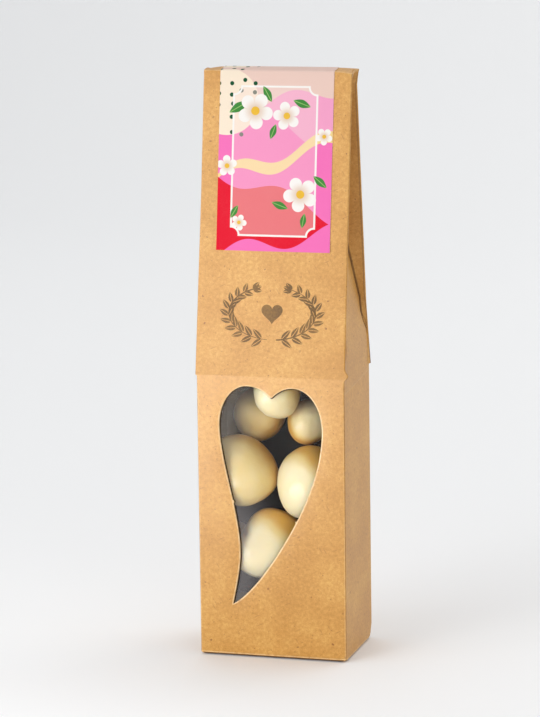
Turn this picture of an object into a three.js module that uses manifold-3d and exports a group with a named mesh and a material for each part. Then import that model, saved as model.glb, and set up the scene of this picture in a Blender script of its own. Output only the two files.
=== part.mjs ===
// A standing gable carton of kraft board with a heart-shaped window. Clear film closes the window,
// strawberries coated in white chocolate fill the carton, and a label folded over the ridge seals it.
// Millimetres, Z up, origin under the middle of the base, window towards -Y.

import * as THREE from "three";
import { ConvexGeometry } from "three/addons/geometries/ConvexGeometry.js";
import { mergeVertices } from "three/addons/utils/BufferGeometryUtils.js";
import Module from "manifold-3d";

const wasm = await Module();
wasm.setup();

// Carton
const WIDTH = 60;
const DEPTH = 40;
const CREASE_HEIGHT = 113.5; // where the upright panels end and the slopes begin
const TOP_DEPTH = 7.6; // narrow strip that joins the two slopes
const FRONT_FOLD_HEIGHT = 230;
const RIDGE_HEIGHT = 232.6; // the strip rises towards the back
const BOARD = 0.5;
const CLEARANCE = 0.3; // left between pieces that touch

// The slopes are a little wider than the upright panels where they meet.
const EAR = 0.6;
const EAR_FADE = 0.6; // share of the slope over which the extra width runs out

// The sides of the gable fold inwards between the slopes.
const POCKET_BASE_HEIGHT = 125;
const POCKET_TIP_HEIGHT = 226;
const POCKET_DEPTH = 17;
const POCKET_OVERSHOOT = 2; // how far the cutting solid stands out of the side

// Heart window: a start point and cubic curves (control, control, end), as X and Z on the front panel
const WINDOW_START = [1.2, 105.7];
const WINDOW_CURVES = [
  [2.8, 107.3, 5.6, 109.2, 9.1, 109.2], // right lobe, rising
  [15.5, 109.2, 20.7, 101.9, 20.7, 92.8], // right lobe, falling
  [20.7, 80.5, 16.3, 68.0, 10.6, 56.9], // right flank
  [5.7, 47.4, -6.0, 27.3, -16.3, 21.4], // sweep to the tail's tip
  [-15.3, 26.5, -13.0, 36.0, -13.0, 43.0], // back up from the tip
  [-13.0, 58.0, -21.0, 80.0, -21.0, 93.6], // left flank
  [-21.0, 102.4, -15.9, 109.5, -9.6, 109.5], // left lobe, rising
  [-6.0, 109.5, -2.8, 107.9, -0.8, 105.8], // left lobe, falling
  [-0.2, 105.1, 0.6, 105.0, 1.2, 105.7], // rounded notch
];
const WINDOW_STEPS = 8; // straight pieces in each curve

// Film behind the window
const FILM_WIDTH = 52;
const FILM_BOTTOM = 12;
const FILM_TOP = 112.5;
const FILM_THICKNESS = 0.2;

// Label over the ridge
const LABEL_WIDTH = 46;
const LABEL_START = 49.2; // from the crease up the slope to the label's lower edge
const LABEL_THICKNESS = 0.2;

// Strawberries: middle, size across, front to back and along, and turn about X, Y and Z in degrees.
// The first ones are seen in the window and hardly move. The loose ones sink between them.
const SEEN = [
  { at: [-0.1, -9.3, 104.1], size: [18.7, 18.0, 19.0], turn: [0, -5, 20] },
  { at: [-12.8, 8.6, 92.4], size: [20.8, 19.6, 21.0], turn: [10, 20, 0] },
  { at: [9.7, 1.0, 91.8], size: [16.4, 17.4, 18.2], turn: [0, 24, 40] },
  { at: [-15.7, -5.5, 72.8], size: [25.4, 26.0, 28.8], turn: [0, 144, 0] },
  { at: [12.5, -6.4, 69.8], size: [28.5, 24.0, 28.0], turn: [180, -25, 0] },
  { at: [-3.1, -7.4, 43.5], size: [26.0, 20.0, 27.9], turn: [-25, 30, 0] },
  { at: [-20.8, 4.6, 40.6], size: [13.8, 14.4, 16.0], turn: [0, 0, 60] },
];
const LOOSE = [
  { at: [-16.0, -5.0, 10.0], size: [22.0, 17.6, 20.0], turn: [90, 10, 0] },
  { at: [14.0, -6.0, 13.5], size: [25.0, 22.0, 26.0], turn: [15, 85, 20] },
  { at: [0.0, 10.5, 11.0], size: [15.0, 15.0, 17.0], turn: [0, 30, 10] },
  { at: [20.0, 10.0, 26.0], size: [16.0, 17.0, 18.0], turn: [20, 60, 0] },
  { at: [20.0, -6.0, 36.0], size: [16.0, 18.0, 19.0], turn: [30, -20, 0] },
  { at: [2.0, 10.0, 44.0], size: [16.0, 15.0, 18.0], turn: [70, 20, 0] },
  { at: [20.0, 11.0, 54.0], size: [15.0, 14.0, 17.0], turn: [0, 40, 0] },
  { at: [2.0, 11.0, 62.0], size: [14.0, 13.0, 16.0], turn: [0, 70, 0] },
  { at: [21.0, 12.0, 76.0], size: [13.0, 12.0, 14.0], turn: [0, 10, 0] },
];
const SEEN_WEIGHT = 60; // how much less one that is seen gives way than a loose one
const TAPER = 0.13; // how much narrower the tip is than the middle
const LUMP = 0.035; // unevenness of the coat, as a share of the radius
const FULLNESS = 2.25; // 2 is a plain egg, and more fills its shoulders
const BALL_DETAIL = 3;
const SETTLE_ROUNDS = 900;
const SINKING_ROUNDS = 400;
const SINK_STEP = 0.12;

const KRAFT = new THREE.MeshStandardMaterial({ color: "#d5a468", roughness: 0.85 });
const FILM = new THREE.MeshStandardMaterial({
  color: "#eef1f5", roughness: 0.1, transparent: true, opacity: 0.25,
});
const PAPER_LABEL = new THREE.MeshStandardMaterial({ color: "#ee86b4", roughness: 0.5 });
const WHITE_CHOCOLATE = new THREE.MeshStandardMaterial({ color: "#ead9a8", roughness: 0.4 });

const model = new THREE.Group();

function add(name, geometry, material) {
  const mesh = new THREE.Mesh(geometry, material.clone());
  mesh.name = name;
  model.add(mesh);
  return mesh;
}

// Joins and cuts

function solid(geometry) {
  const bare = geometry.index ? geometry.toNonIndexed() : geometry.clone();
  bare.deleteAttribute("normal");
  bare.deleteAttribute("uv");
  const merged = mergeVertices(bare, 1e-5);
  return new wasm.Manifold(new wasm.Mesh({
    numProp: 3,
    vertProperties: new Float32Array(merged.attributes.position.array),
    triVerts: new Uint32Array(merged.index.array),
  }));
}

function geometryOf(manifold) {
  const { vertProperties, triVerts } = manifold.getMesh();
  const geometry = new THREE.BufferGeometry();
  geometry.setAttribute("position", new THREE.BufferAttribute(vertProperties, 3));
  geometry.setIndex(new THREE.BufferAttribute(triVerts, 1));
  geometry.computeVertexNormals();
  return geometry;
}

const hull = (points) => solid(new ConvexGeometry(points));

// Side outline of the carton, as Y and Z, counter-clockwise

const PROFILE = [
  [-DEPTH / 2, 0],
  [DEPTH / 2, 0],
  [DEPTH / 2, CREASE_HEIGHT],
  [TOP_DEPTH / 2, RIDGE_HEIGHT],
  [-TOP_DEPTH / 2, FRONT_FOLD_HEIGHT],
  [-DEPTH / 2, CREASE_HEIGHT],
].map(([y, z]) => new THREE.Vector2(y, z));
const [, , BACK_CREASE, BACK_FOLD, FRONT_FOLD, FRONT_CREASE] = PROFILE.keys();

// Each edge moves outwards by the distance, and the corners stay mitred.
function offset(outline, distance) {
  return outline.map((corner, i) => {
    const before = outline.at(i - 1);
    const after = outline[(i + 1) % outline.length];
    const arriving = corner.clone().sub(before).normalize();
    const leaving = after.clone().sub(corner).normalize();
    const normalBefore = new THREE.Vector2(arriving.y, -arriving.x);
    const normalAfter = new THREE.Vector2(leaving.y, -leaving.x);
    const mitre = normalBefore.clone().add(normalAfter);
    return corner.clone().addScaledVector(mitre, distance / (1 + normalBefore.dot(normalAfter)));
  });
}

// A shape drawn in Y and Z becomes a prism along X, centred on X = 0.
function prismAlongX(outline, length) {
  const prism = new THREE.ExtrudeGeometry(new THREE.Shape(outline), {
    depth: length, bevelEnabled: false,
  });
  prism.translate(0, 0, -length / 2);
  prism.applyMatrix4(new THREE.Matrix4().makeBasis(
    new THREE.Vector3(0, 1, 0), new THREE.Vector3(0, 0, 1), new THREE.Vector3(1, 0, 0),
  ));
  return prism;
}

// Carton: one folded blank

// What the folded-in side leaves open. growth swells it by a board's thickness.
function gussetPocket(side, growth) {
  const layers = 2 * BOARD; // the slope and the board folded against it
  const inner = offset(PROFILE, -layers);
  const share = (POCKET_BASE_HEIGHT - CREASE_HEIGHT) / (FRONT_FOLD_HEIGHT - CREASE_HEIGHT);
  const frontBase = inner[FRONT_CREASE].clone().lerp(inner[FRONT_FOLD], share);
  const backBase = inner[BACK_CREASE].clone().lerp(inner[BACK_FOLD], share);
  const rim = [frontBase, backBase, inner[FRONT_FOLD], inner[BACK_FOLD]];
  const corners = [
    ...rim.map((p) => [WIDTH / 2, p.x, p.y]),
    ...rim.map((p) => [WIDTH / 2 + POCKET_OVERSHOOT, p.x, p.y]),
    [WIDTH / 2 - POCKET_DEPTH, 0, POCKET_TIP_HEIGHT],
  ];
  const signs = growth > 0 ? [-growth, growth] : [0];
  const points = corners.flatMap(([x, y, z]) => signs.flatMap((dx) => signs.flatMap((dy) =>
    signs.map((dz) => new THREE.Vector3(side * (x + dx), y + dy, z + dz)))));
  return hull(points);
}

// The bit by which a slope is wider than the upright panel, fading towards the ridge.
function ear(side, crease, fold) {
  const inner = offset(PROFILE, -2 * BOARD);
  const ends = [PROFILE, inner].map((outline) => [
    outline[crease], outline[crease].clone().lerp(outline[fold], EAR_FADE),
  ]);
  const points = ends.flatMap(([low, high]) => [
    [WIDTH / 2 - BOARD, low], [WIDTH / 2 + EAR, low], [WIDTH / 2 - BOARD, high], [WIDTH / 2, high],
  ]);
  return hull(points.map(([x, p]) => new THREE.Vector3(side * x, p.x, p.y)));
}

function windowShape() {
  const shape = new THREE.Shape();
  shape.moveTo(...WINDOW_START);
  for (const curve of WINDOW_CURVES) shape.bezierCurveTo(...curve);
  return shape;
}

function windowCutter() {
  const through = 4 * BOARD;
  const cutter = new THREE.ExtrudeGeometry(windowShape(), {
    depth: through, bevelEnabled: false, curveSegments: WINDOW_STEPS,
  });
  cutter.rotateX(Math.PI / 2);
  cutter.translate(0, -DEPTH / 2 + through / 2 + BOARD / 2, 0);
  return solid(cutter);
}

function carton() {
  let outside = solid(prismAlongX(PROFILE, WIDTH));
  let inside = solid(prismAlongX(offset(PROFILE, -BOARD), WIDTH - 2 * BOARD));
  for (const side of [-1, 1]) {
    outside = outside.subtract(gussetPocket(side, 0));
    inside = inside.subtract(gussetPocket(side, BOARD));
  }
  let shell = outside.subtract(inside);
  for (const side of [-1, 1]) {
    shell = shell.add(ear(side, FRONT_CREASE, FRONT_FOLD)).add(ear(side, BACK_CREASE, BACK_FOLD));
  }
  return geometryOf(shell.subtract(windowCutter()));
}

add("carton", carton(), KRAFT);

// Film, glued inside the front panel

const FILM_FRONT = -DEPTH / 2 + BOARD + CLEARANCE;
const film = add("window_film", new THREE.BoxGeometry(
  FILM_WIDTH, FILM_THICKNESS, FILM_TOP - FILM_BOTTOM,
), FILM);
film.position.set(0, FILM_FRONT + FILM_THICKNESS / 2, (FILM_TOP + FILM_BOTTOM) / 2);

// Label: up the front slope, over the strip and down the back slope

function labelPath(distance) {
  const outline = offset(PROFILE, distance);
  const slope = PROFILE[FRONT_CREASE].distanceTo(PROFILE[FRONT_FOLD]);
  const start = LABEL_START / slope;
  return [
    outline[FRONT_CREASE].clone().lerp(outline[FRONT_FOLD], start),
    outline[FRONT_FOLD],
    outline[BACK_FOLD],
    outline[BACK_CREASE].clone().lerp(outline[BACK_FOLD], start),
  ];
}

const labelOutline = [
  ...labelPath(CLEARANCE + LABEL_THICKNESS),
  ...labelPath(CLEARANCE).reverse(),
];
add("label", prismAlongX(labelOutline, LABEL_WIDTH), PAPER_LABEL);

// Strawberries

// An uneven egg with its narrow tip down. The wave numbers and the seed make each one different.
function strawberry({ size, turn }, seed) {
  const bare = new THREE.IcosahedronGeometry(1, BALL_DETAIL);
  bare.deleteAttribute("normal");
  bare.deleteAttribute("uv");
  const geometry = mergeVertices(bare, 1e-4);
  const position = geometry.attributes.position;
  const point = new THREE.Vector3();
  for (let i = 0; i < position.count; i += 1) {
    point.fromBufferAttribute(position, i);
    const span = point.toArray().reduce((sum, v) => sum + Math.abs(v) ** FULLNESS, 0);
    point.multiplyScalar(span ** (-1 / FULLNESS));
    const lump = 1 + LUMP * (
      Math.sin(3 * point.x + 2 * point.z + 1.7 * seed)
      + Math.sin(2.6 * point.y - 2.2 * point.z + 2.9 * seed)
    ) / 2;
    const girth = lump * (1 + TAPER * point.z);
    position.setXYZ(
      i, point.x * girth * size[0] / 2, point.y * girth * size[1] / 2, point.z * lump * size[2] / 2,
    );
  }
  geometry.applyMatrix4(new THREE.Matrix4().makeRotationFromEuler(
    new THREE.Euler(...turn.map(THREE.MathUtils.degToRad), "ZYX"),
  ));
  geometry.computeVertexNormals();
  return geometry;
}

// How far a strawberry reaches from its middle in one direction
function reach(berry, direction) {
  let furthest = 0;
  for (const corner of berry.corners) furthest = Math.max(furthest, corner.dot(direction));
  return furthest;
}

// Planes that hold the fill in: the direction out of the carton and the distance from the origin
const inward = offset(PROFILE, -(BOARD + CLEARANCE));
const slopeNormal = (crease, fold) => {
  const along = inward[fold].clone().sub(inward[crease]).normalize();
  const across = new THREE.Vector2(along.y, -along.x);
  if (across.x * inward[crease].x < 0) across.negate();
  return { out: new THREE.Vector3(0, across.x, across.y), at: across.dot(inward[crease]) };
};
const SIDE_LIMIT = WIDTH / 2 - BOARD - CLEARANCE;
const WALLS = [
  { out: new THREE.Vector3(1, 0, 0), at: SIDE_LIMIT },
  { out: new THREE.Vector3(-1, 0, 0), at: SIDE_LIMIT },
  { out: new THREE.Vector3(0, 1, 0), at: inward[BACK_CREASE].x },
  { out: new THREE.Vector3(0, -1, 0), at: -(FILM_FRONT + FILM_THICKNESS + CLEARANCE) },
  { out: new THREE.Vector3(0, 0, -1), at: -(BOARD + CLEARANCE) },
  slopeNormal(FRONT_CREASE, FRONT_FOLD),
  slopeNormal(BACK_CREASE, BACK_FOLD),
];

// Moves two strawberries apart along the line between them, the heavier one less.
function separate(a, b) {
  const between = b.centre.clone().sub(a.centre);
  const distance = between.length();
  const direction = between.normalize();
  const overlap = reach(a, direction) + reach(b, direction.clone().negate()) + CLEARANCE - distance;
  if (overlap <= 0) return;
  const shareOfA = b.weight / (a.weight + b.weight);
  a.centre.addScaledVector(direction, -overlap * shareOfA);
  b.centre.addScaledVector(direction, overlap * (1 - shareOfA));
}

function holdInside(berry) {
  for (const wall of WALLS) {
    const past = berry.centre.dot(wall.out) + reach(berry, wall.out) - wall.at;
    if (past > 0) berry.centre.addScaledVector(wall.out, -past);
  }
}

function settle(berries) {
  const loose = berries.slice(SEEN.length);
  for (let round = 0; round < SETTLE_ROUNDS; round += 1) {
    if (round < SINKING_ROUNDS) for (const berry of loose) berry.centre.z -= SINK_STEP;
    berries.forEach((a, i) => berries.slice(i + 1).forEach((b) => separate(a, b)));
    berries.forEach(holdInside);
  }
}

const berries = [...SEEN, ...LOOSE].map((berry, i) => {
  const geometry = strawberry(berry, i + 1);
  const position = geometry.attributes.position;
  const corners = Array.from({ length: position.count }, (_, k) =>
    new THREE.Vector3().fromBufferAttribute(position, k));
  const weight = i < SEEN.length ? SEEN_WEIGHT : 1;
  return { geometry, corners, centre: new THREE.Vector3(...berry.at), weight };
});
settle(berries);
berries.forEach(({ geometry, centre }, i) => {
  const name = `coated_strawberry_${String(i + 1).padStart(2, "0")}`;
  add(name, geometry, WHITE_CHOCOLATE).position.copy(centre);
});

export default model;
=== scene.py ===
# %% [markdown]
# # A gable carton of coated strawberries
# A carton folded from one blank of kraft board stands on a table. A heart-shaped window in its front shows
# strawberries coated in white chocolate, and a printed label over the ridge keeps the top shut.
# The measured frame comes first. Every piece that follows is placed in that frame, in metres, so nothing has
# to be fitted by eye.

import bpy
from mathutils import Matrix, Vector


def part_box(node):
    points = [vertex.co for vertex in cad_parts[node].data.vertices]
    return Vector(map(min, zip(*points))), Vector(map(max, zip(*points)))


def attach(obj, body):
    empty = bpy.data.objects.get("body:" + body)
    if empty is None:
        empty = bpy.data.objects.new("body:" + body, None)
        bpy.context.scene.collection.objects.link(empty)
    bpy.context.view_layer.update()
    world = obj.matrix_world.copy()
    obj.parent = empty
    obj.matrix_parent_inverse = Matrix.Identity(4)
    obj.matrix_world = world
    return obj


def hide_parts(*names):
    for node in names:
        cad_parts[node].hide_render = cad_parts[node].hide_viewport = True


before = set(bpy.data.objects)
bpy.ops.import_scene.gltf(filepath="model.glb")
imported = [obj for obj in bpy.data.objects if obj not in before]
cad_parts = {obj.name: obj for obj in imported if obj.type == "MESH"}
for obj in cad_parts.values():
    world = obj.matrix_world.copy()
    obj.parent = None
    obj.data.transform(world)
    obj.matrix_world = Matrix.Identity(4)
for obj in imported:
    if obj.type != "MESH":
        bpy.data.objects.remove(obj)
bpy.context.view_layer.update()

# %% Tools and the millimetre
import math

import bmesh
import bpy
import numpy as np
from mathutils import Matrix, Vector, noise
from mathutils.geometry import delaunay_2d_cdt

MM = 0.001
SEED = 7


def unit(v):
    """The same direction with a length of one."""
    v = np.asarray(v, float)
    return v / np.linalg.norm(v)


def smooth_step(low, high, value):
    """Rises softly from 0 at low to 1 at high."""
    t = np.clip((value - low) / (high - low), 0.0, 1.0)
    return t * t * (3.0 - 2.0 * t)


def into_scene(name, data):
    """A new object in the scene."""
    made = bpy.data.objects.new(name, data)
    bpy.context.scene.collection.objects.link(made)
    return made


def cell(table, row, column, after):
    """The four entries round one cell of a table, between two of its columns."""
    return [table[row][column], table[row][after], table[row + 1][after], table[row + 1][column]]


def grid_mesh(name, rows):
    """A sheet through rows of points."""
    wide = len(rows[0])
    index = np.arange(len(rows) * wide).reshape(-1, wide)
    made = bpy.data.meshes.new(name)
    made.from_pydata([p for row in rows for p in row], [], [
        cell(index, r, c, c + 1) for r in range(len(rows) - 1) for c in range(wide - 1)])
    return made


print("one unit is a metre, one step below is", MM, "of it")

# %% [markdown]
# ## The view
# The photograph was taken from the right of the carton and a little above it, from far away through a long
# lens: the carton's upright edges hardly lean. Matching a camera to a picture starts from edges whose real
# lengths are known. The carton's corners gave this place and these angles, and the lens follows from them.

# %% Camera
CAMERA_PLACE = Vector((336.3033, -1192.9713, 338.1100)) * MM
TURN, DIP, ROLL = (math.radians(a) for a in (15.99, 10.09, -0.7273))
FOCAL_IN_PIXELS, LONG_SIDE, SENSOR = 3175.0, 717, 36.0

ahead = Vector((-math.sin(TURN) * math.cos(DIP), math.cos(TURN) * math.cos(DIP), -math.sin(DIP)))
level_right = Vector((math.cos(TURN), math.sin(TURN), 0.0))
level_up = level_right.cross(ahead)
right = math.cos(ROLL) * level_right + math.sin(ROLL) * level_up
up = math.cos(ROLL) * level_up - math.sin(ROLL) * level_right

lens = bpy.data.cameras.new("long_lens")
lens.lens = FOCAL_IN_PIXELS / LONG_SIDE * SENSOR
lens.sensor_width = SENSOR
lens.clip_start, lens.clip_end = 0.05, 60.0
camera = into_scene("camera", lens)
camera.matrix_world = Matrix.Translation(CAMERA_PLACE) @ Matrix((right, up, -ahead)).transposed().to_4x4()
bpy.context.scene.camera = camera
print("lens of", round(lens.lens, 1), "mm")

# %% [markdown]
# ## Building materials from nodes
# A material is a small network: patterns go in at the left, and the shader that meets the light is at the
# right. Effects that several finishes share, such as the fibres of paper, are made once as a group with
# named sockets and then placed in each finish with its own values. A socket knows its network, so most
# helpers find from their values where to add a node.

# %% Helpers for node networks
MIX_SHARE, MIX_FIRST, MIX_SECOND, MIXED = 0, 6, 7, 2  # the mix node's sockets for colours


def feed(made, feeds):
    """Gives a node's inputs numbers, or joins them to other sockets."""
    for place, value in feeds.items():
        if isinstance(value, bpy.types.NodeSocket):
            made.id_data.links.new(value, made.inputs[place])
        else:
            made.inputs[place].default_value = value
    return made


def node(tree, kind, feeds=None, **settings):
    """Adds a node, sets it up and feeds its inputs."""
    made = tree.nodes.new("ShaderNode" + kind)
    for key, value in settings.items():
        setattr(made, key, value)
    return feed(made, feeds or {})


def home(*values):
    """The network that the sockets among these values belong to."""
    return next(v.id_data for v in values if isinstance(v, bpy.types.NodeSocket))


def reckon(operation, *values):
    """A number worked out from others, of which at least one is a socket."""
    return node(home(*values), "Math", dict(enumerate(values)), operation=operation).outputs[0]


def times(first, second, plus=None):
    return reckon("MULTIPLY", first, second) if plus is None else reckon("MULTIPLY_ADD", first, second, plus)


def less(first, second):
    return reckon("SUBTRACT", first, second)


def most(greatest, *values):
    """The greatest of several numbers."""
    for value in values:
        greatest = reckon("MAXIMUM", greatest, value)
    return greatest


def ramp_mask(value, low, high):
    """0 below low, 1 above high and a soft step between. With low above high it falls instead."""
    feeds = {"Value": value, "From Min": low, "From Max": high}
    return node(value.id_data, "MapRange", feeds, interpolation_type="SMOOTHSTEP").outputs[0]


def blend_colours(share, first, second, how="MIX"):
    """The first colour where share is 0 and the second where it is 1."""
    feeds = {MIX_SHARE: share, MIX_FIRST: first, MIX_SECOND: second}
    return node(home(share, first), "Mix", feeds, data_type="RGBA", blend_type=how).outputs[MIXED]


def noise_at(place, scale, detail, flat=True, **more):
    """Cloudy noise, as a number and as a colour. Flat noise leaves out the third direction."""
    feeds = {"Vector": place, "Scale": scale, "Detail": detail, **more}
    return node(place.id_data, "TexNoise", feeds, noise_dimensions="2D" if flat else "3D").outputs


def bumped(height, strength, distance):
    """Which way a surface faces where a pattern gives it a low relief."""
    feeds = {"Height": height, "Strength": strength, "Distance": distance}
    return node(height.id_data, "Bump", feeds).outputs[0]


def apart(vector):
    """The three numbers of a vector."""
    return node(vector.id_data, "SeparateXYZ", {"Vector": vector}).outputs


def new_group(name, takes, gives):
    """An empty node group. A taken value of None stands for a vector, and every given one is a number."""
    tree = bpy.data.node_groups.new(name, "ShaderNodeTree")
    for label, value in takes.items():
        kind = "NodeSocketVector" if value is None else "NodeSocketFloat"
        socket = tree.interface.new_socket(label, in_out="INPUT", socket_type=kind)
        if value is not None:
            socket.default_value = value
    for label in gives:
        tree.interface.new_socket(label, in_out="OUTPUT", socket_type="NodeSocketFloat")
    return tree, tree.nodes.new("NodeGroupInput").outputs, tree.nodes.new("NodeGroupOutput")


def place_group(group, feeds):
    """Puts a group into the network that feeds it and gives its outputs back."""
    return node(home(*feeds.values()), "Group", feeds, node_tree=group).outputs


def new_finish(name):
    """A material with an empty Principled shader, ready to be fed."""
    made = bpy.data.materials.new(name)
    made.use_nodes = True
    return made, made.node_tree, made.node_tree.nodes["Principled BSDF"]


def paint(red, green, blue):
    """A colour as read off a picture, 0 to 255, turned into the even scale that light is reckoned in."""
    def even(v):
        v /= 255.0
        return v / 12.92 if v <= 0.04045 else ((v + 0.055) / 1.055) ** 2.4
    return (even(red), even(green), even(blue), 1.0)


print("a mid kraft brown is", [round(v, 3) for v in paint(225, 175, 110)[:3]])

# %% [markdown]
# ## Paper fibres
# Kraft board is pressed from long brown fibres. Close up it is never one colour: there are soft clouds a
# centimetre wide, blotches of a millimetre or two, fine streaks where fibres lie together, and now and then
# a dark speck of bark or a long dark hair. The pattern is drawn on the flat blank, so it runs on round the
# folds, as it does on a sheet that was folded after it was made.

# %% Group: paper fibres
STREAKS = [(14.0, 3.1), (-38.0, 8.6), (71.0, 5.3)]  # turn in degrees, shift in millimetres
HAIRS = [(24.0, 1.7), (-61.0, 6.4)]
STREAK_LENGTHS, HAIR_LENGTHS = (2.0, 0.28, 1.0), (14.0, 1.9, 1.0)
SPECKS = [(0.08, 0.16, 0.5), (0.24, 0.05, 0.24), (0.42, 0.02, 0.22)]  # cells to a millimetre, radii from, to


def stretched(sheet, turn, shift, lengths):
    """The sheet turned, shifted and drawn out, so that a round pattern on it becomes long."""
    return node(sheet.id_data, "Mapping", {
        "Vector": sheet, "Location": shift, "Rotation": (0.0, 0.0, math.radians(turn)), "Scale": lengths,
    }, vector_type="TEXTURE").outputs[0]


def scattered(place, scale):
    """Cells on a sheet: the distance from a cell's middle, and two numbers of luck for each cell."""
    tree, feeds = place.id_data, {"Vector": place, "Scale": scale}
    cells = node(tree, "TexVoronoi", feeds, voronoi_dimensions="2D").outputs
    luck = node(tree, "SeparateColor", {"Color": cells["Color"]}).outputs
    return cells["Distance"], luck["Red"], luck["Green"]


fibres, given, wanted = new_group(
    "paper fibres", {"Sheet": None, "Blotch Size": 1.0, "Specks": 1.0}, ["Tone", "Speck", "Height"])
sheet = given["Sheet"]
finer = reckon("DIVIDE", 1.0, given["Blotch Size"])
clouds = noise_at(sheet, times(finer, 0.055), 3.0)[0]
blotches = noise_at(sheet, times(finer, 0.72), 4.0, Roughness=0.7)[0]
streak = most(*(noise_at(stretched(sheet, turn, (shift, -shift, 0.0), STREAK_LENGTHS), 1.0, 2.0)[0]
                for turn, shift in STREAKS))
tone = times(less(clouds, 0.5), 0.5, plus=0.5)
tone = times(less(blotches, 0.5), 0.75, plus=tone)
tone = times(less(streak, 0.6), 0.5, plus=tone)

frayed = node(fibres, "VectorMath", {0: noise_at(sheet, 1.6, 2.0)["Color"], 1: (0.9, 0.9, 0.0), 2: sheet},
              operation="MULTIPLY_ADD").outputs[0]
marks = []
for cells, least, greatest in SPECKS:
    far, luck, strength = scattered(frayed, cells)
    radius = times(reckon("POWER", luck, 2.0), greatest - least, plus=least)
    edge = less(reckon("DIVIDE", far, cells), radius)
    marks.append(times(ramp_mask(edge, 0.08, -0.1), times(strength, 0.7, plus=0.3)))
for turn, shift in HAIRS:
    far, luck, _ = scattered(stretched(sheet, turn, (shift, shift, 0.0), HAIR_LENGTHS), 1.0)
    marks.append(times(times(ramp_mask(far, 0.12, 0.06), ramp_mask(luck, 0.7, 1.0)), 0.4))
feed(wanted, {"Tone": tone, "Speck": times(most(*marks), given["Specks"]),
              "Height": times(blotches, 0.5, plus=times(streak, 0.6))})
print("paper fibres:", len(fibres.nodes), "nodes")

# %% [markdown]
# ## Worn folds with painted highlight, painted shade, and smudges
# Board is bruised where it is folded and cut: the fibres stand up there and look paler. On the box folds,
# at the foot and round the window this pale line is also a painted highlight. The meshes carry a
# number at each point, called fold: 1 on a worn fold, 0 away from it, and below 0 for painted shade,
# where a crease, a doubled edge, the foot or the back ear lies in shadow. The first group breaks the worn
# line up with noise, because no fold wears evenly. The second gives the soft patches that fingers and
# cocoa butter leave, which change how sharply a surface mirrors.

# %% Group: worn folds and painted highlight
wear_and_highlight, given, wanted = new_group("worn folds and painted highlight", {"Fold": 0.0, "Sheet": None, "Strength": 0.5}, ["Mask"])
broken = ramp_mask(noise_at(given["Sheet"], 0.35, 4.0)[0], 0.1, 0.6)
line = ramp_mask(given["Fold"], 0.15, 0.95)
feed(wanted, {"Mask": times(times(line, broken), given["Strength"])})

# %% Group: smudges
smudges, given, wanted = new_group("smudges", {"Place": None, "Size": 10.0}, ["Mask"])
patches = noise_at(given["Place"], reckon("DIVIDE", 1.0, given["Size"]), 3.0, flat=False,
                   Roughness=0.6, Distortion=0.6)[0]
feed(wanted, {"Mask": ramp_mask(patches, 0.35, 0.7)})
print("groups so far:", [g.name for g in bpy.data.node_groups])

# %% [markdown]
# ## Kraft board
# The outside is calendered, so it has a faint silky shine over a rough brown sheet. The inside of the same
# board is painted nearly black-brown as painted shade for the unlit inside, and a cut edge shows the pale core.
# All three read the fibres group and differ in colour.

# %% Kraft board finishes
def sheet_place(tree):
    """Where a point lies on the flat blank, in millimetres."""
    return node(tree, "UVMap", uv_map="blank").outputs[0]


def fold_line(tree):
    """The number that the mesh carries at each point for its folds."""
    return node(tree, "Attribute", attribute_name="fold", attribute_type="GEOMETRY").outputs["Fac"]


def kraft(name, shades, speckle, worn, roughness, bump, others):
    """Kraft board: dark, middle and pale shades, specks, worn folds that are partly painted highlight, painted
    shade where the fold marks are below 0, and other shader values.
    """
    made, tree, shader = new_finish(name)
    sheet = sheet_place(tree)
    pattern = place_group(fibres, {"Sheet": sheet, "Specks": speckle})
    colours = node(tree, "ValToRGB", {"Fac": pattern["Tone"]})
    stops = colours.color_ramp.elements
    stops[0].position, stops[1].position = 0.28, 0.74
    stops[0].color, stops[1].color, stops.new(0.52).color = (paint(*shades[k]) for k in (0, 2, 1))
    # pale worn board on the folds; on the box folds, the foot and the window rim it is also a painted highlight
    rubbed = place_group(wear_and_highlight, {"Fold": fold_line(tree), "Sheet": sheet, "Strength": worn})["Mask"]
    colour = blend_colours(rubbed, colours.outputs[0], paint(240, 209, 160))
    colour = blend_colours(pattern["Speck"], colour, paint(126, 68, 28))
    # painted shade: fold marks below 0 darken the crevice under the foot, the valley grooves, the doubled edges
    # and the back ear
    painted_shade = ramp_mask(fold_line(tree), -0.35, -0.95)
    feed(shader, {
        "Base Color": blend_colours(times(painted_shade, 0.9), colour, paint(80, 46, 20)),
        "Roughness": times(pattern["Tone"], 0.12, plus=roughness - 0.06),
        "Normal": bumped(pattern["Height"], bump, 0.00005), **others,
    })
    return made


kraft_outside = kraft("kraft_outside", ((182, 129, 57), (198, 145, 71), (211, 164, 89)), 0.9, 0.8, 0.47, 0.35,
                      {"Sheen Weight": 0.02, "Sheen Roughness": 0.45})
# painted shade: the inside is nearly black-brown, for the unlit inside of the carton and the dark line inside the
# window's cut
kraft_inside_painted_shade = kraft("kraft_inside_painted_shade", ((44, 31, 20), (52, 37, 24), (60, 43, 29)), 0.6, 0.1, 0.85, 0.35,
                     {"Specular IOR Level": 0.1})
kraft_core = kraft("kraft_core", ((214, 176, 124), (232, 200, 150), (242, 216, 172)), 0.2, 0.2, 0.9, 0.5, {})
print("kraft finishes ready")

# %% [markdown]
# ## The carton's side view
# Seen from the side, the board is one bent line: up the front, in along the slope, over the narrow strip
# at the ridge and down the back. Board can't fold to a knife edge, so each corner gets a small curve, with a
# row of points just beside it that keeps the flat faces flat when they are shaded smoothly.
# The front and the back line have the same number of stations. Each pair of stations becomes one closed ring
# round the carton, and a ring may lie at a slant: the ring at the score line on the sides does.

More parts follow.
